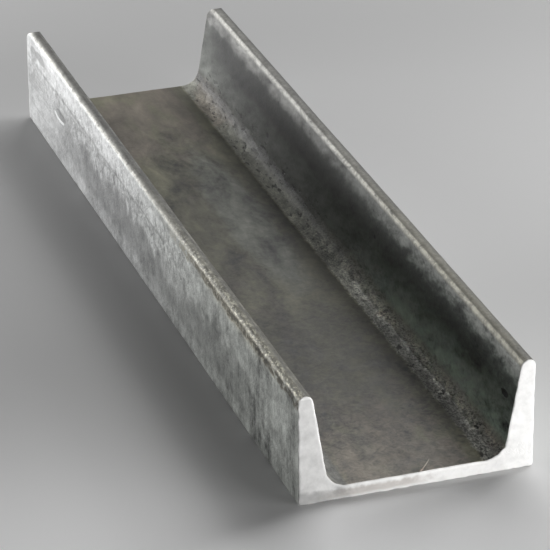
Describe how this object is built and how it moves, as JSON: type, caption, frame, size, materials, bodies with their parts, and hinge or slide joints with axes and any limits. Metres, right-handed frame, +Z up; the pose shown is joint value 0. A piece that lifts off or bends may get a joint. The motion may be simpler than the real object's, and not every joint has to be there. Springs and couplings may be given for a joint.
{
  "type": "hot-rolled steel channel",
  "caption": "Short sawn length of hot-rolled steel channel: a flat web with tapered flanges, rounded toes and filleted roots, used as a beam, purlin or frame member.",
  "frame": {"origin": "middle of the web's back face, which lies on the floor", "axes": "+Y along the rolled length, +X across the web from flange to flange, +Z up from the web's back to the toes"},
  "size_m": [0.0762, 0.31, 0.037],
  "materials": {
    "steel": "hot-rolled mill finish, dull grey scale, with bright sawn ends"
  },
  "bodies": {
    "root": {"channel": "steel"}
  },
  "joints": []
}
